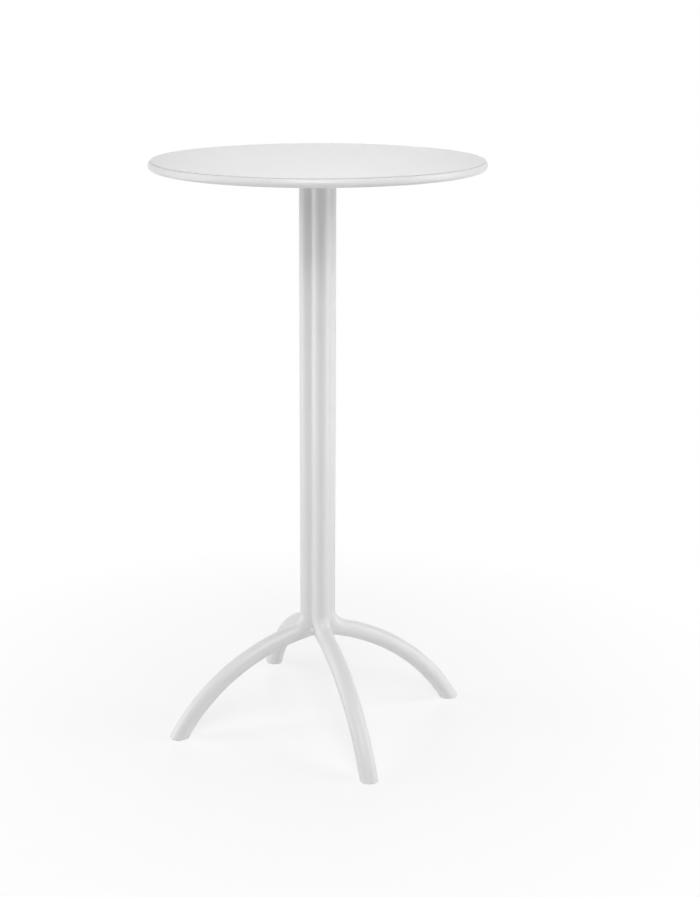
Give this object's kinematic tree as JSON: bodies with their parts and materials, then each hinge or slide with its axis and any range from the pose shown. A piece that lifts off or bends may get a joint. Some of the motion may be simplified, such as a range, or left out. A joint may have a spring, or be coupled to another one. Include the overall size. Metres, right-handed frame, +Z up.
{
  "type": "bar table",
  "caption": "Tall round bar table: a flat disc top with a rounded edge on a slender fluted column whose lobes bend outward into arched legs.",
  "frame": {"origin": "on the floor, under the axis of the column", "axes": "+Z up along the column's axis; the legs point along +X, -X, +Y and -Y, and the front leg is the one towards -Y"},
  "size_m": [0.5999, 0.6, 1.08],
  "materials": {
    "resin": "white moulded resin, satin",
    "coated_metal": "white powder coat, satin",
    "plated_steel": "zinc plated",
    "insert_brass": "turned",
    "pad_rubber": "light grey rubber, matte"
  },
  "bodies": {
    "root": {"table_top": "resin", "upper_hub": "coated_metal", "top_screws": "plated_steel", "leg_screws": "plated_steel", "leg_washers": "plated_steel", "leg_inserts": "insert_brass", "leg_front": "resin", "leg_right": "resin", "leg_back": "resin", "leg_left": "resin", "locating_pegs": "resin", "core_tube": "plated_steel", "tie_rod": "plated_steel", "upper_washer": "plated_steel", "upper_nut": "plated_steel", "lower_hub": "coated_metal", "base_screws": "plated_steel", "lower_washer": "plated_steel", "lower_nut": "plated_steel", "base_cap": "resin", "foot_pad_front": "pad_rubber", "foot_pad_right": "pad_rubber", "foot_pad_back": "pad_rubber", "foot_pad_left": "pad_rubber"}
  },
  "joints": []
}
